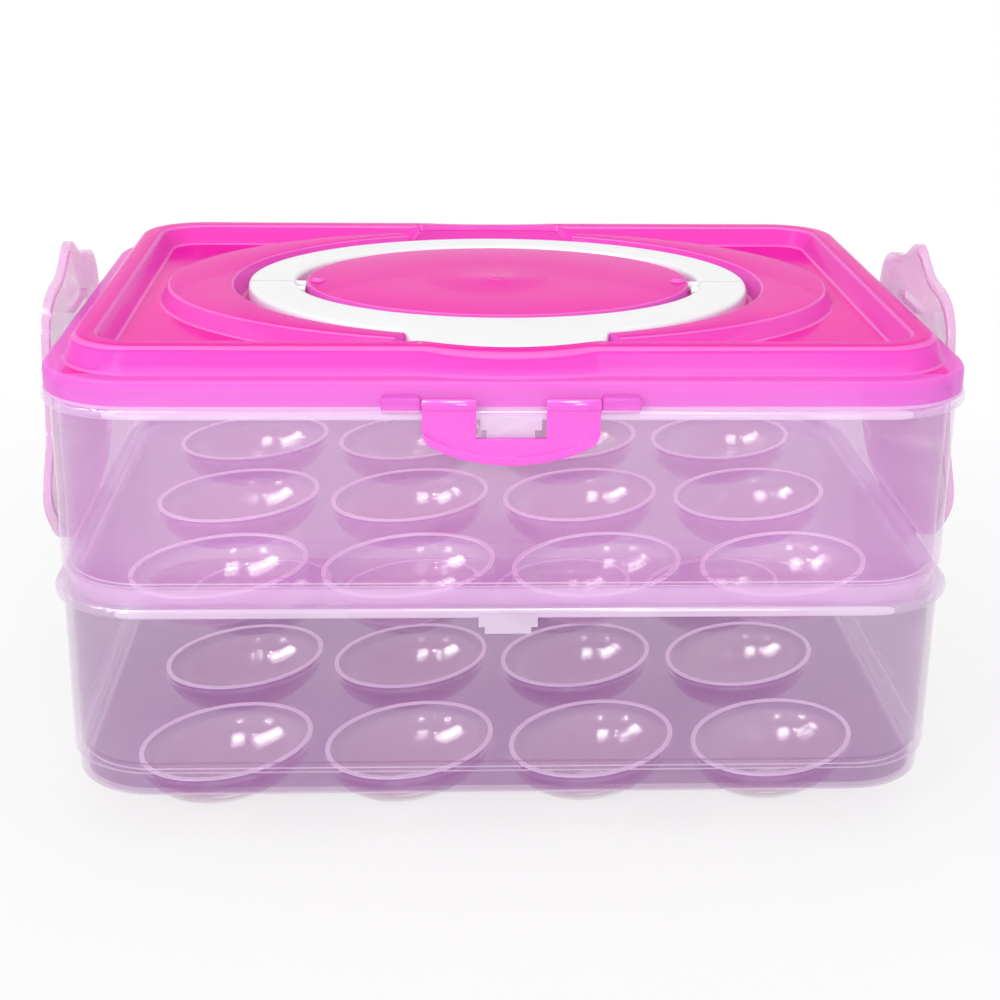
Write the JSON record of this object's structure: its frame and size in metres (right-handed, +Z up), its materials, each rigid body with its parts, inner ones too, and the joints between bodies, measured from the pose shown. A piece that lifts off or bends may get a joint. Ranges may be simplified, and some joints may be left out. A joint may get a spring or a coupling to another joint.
{
  "type": "egg storage box",
  "caption": "Stacking egg storage box: see-through trays with oval egg cups, a lid with a sunk folding handle and drop-down latches, and tall side clips that lock lid and trays together.",
  "frame": {"origin": "middle of the plane of the cup bottoms that the box stands on", "axes": "+X along the long side to the right, +Y to the rear, +Z up; the handle's grip tab is at the front"},
  "size_m": [0.2612, 0.1926, 0.1517],
  "materials": {
    "clear_lavender": "frosted see-through",
    "pink": "gloss, slightly see-through",
    "white": "satin gloss",
    "clear": "clear gloss"
  },
  "bodies": {
    "lower_tray": {"lower_tray": "clear_lavender"},
    "upper_tray": {"upper_tray": "clear_lavender"},
    "lid": {"lid": "pink"},
    "front_handle_half": {"front_handle_half": "white"},
    "rear_handle_half": {"rear_handle_half": "white"},
    "front_latch": {"front_latch": "pink"},
    "rear_latch": {"rear_latch": "pink"},
    "left_side_clip": {"left_side_clip": "clear"},
    "right_side_clip": {"right_side_clip": "clear"}
  },
  "joints": [
    {"name": "upper_tray_lift", "type": "slide", "parent": "lower_tray", "child": "upper_tray", "axis": [0, 0, 1], "range_m": [0, 0.1]},
    {"name": "lid_lift", "type": "slide", "parent": "upper_tray", "child": "lid", "axis": [0, 0, 1], "range_m": [0, 0.1]},
    {"name": "front_handle_hinge", "type": "hinge", "parent": "lid", "child": "front_handle_half", "pos_m": [0, -0.0068, 0.13855], "axis": [-1, 0, 0], "range_deg": [0, 88]},
    {"name": "rear_handle_hinge", "type": "hinge", "parent": "lid", "child": "rear_handle_half", "pos_m": [0, 0, 0.13855], "axis": [1, 0, 0], "range_deg": [0, 88]},
    {"name": "front_latch_hinge", "type": "hinge", "parent": "lid", "child": "front_latch", "pos_m": [0, -0.09417, 0.129], "axis": [-1, 0, 0], "range_deg": [0, 110]},
    {"name": "rear_latch_hinge", "type": "hinge", "parent": "lid", "child": "rear_latch", "pos_m": [0, 0.09417, 0.129], "axis": [1, 0, 0], "range_deg": [0, 110]},
    {"name": "left_clip_hinge", "type": "hinge", "parent": "lower_tray", "child": "left_side_clip", "pos_m": [-0.1263, 0, 0.0646], "axis": [0, -1, 0], "range_deg": [0, 100]},
    {"name": "right_clip_hinge", "type": "hinge", "parent": "lower_tray", "child": "right_side_clip", "pos_m": [0.1263, 0, 0.0646], "axis": [0, 1, 0], "range_deg": [0, 100]}
  ]
}
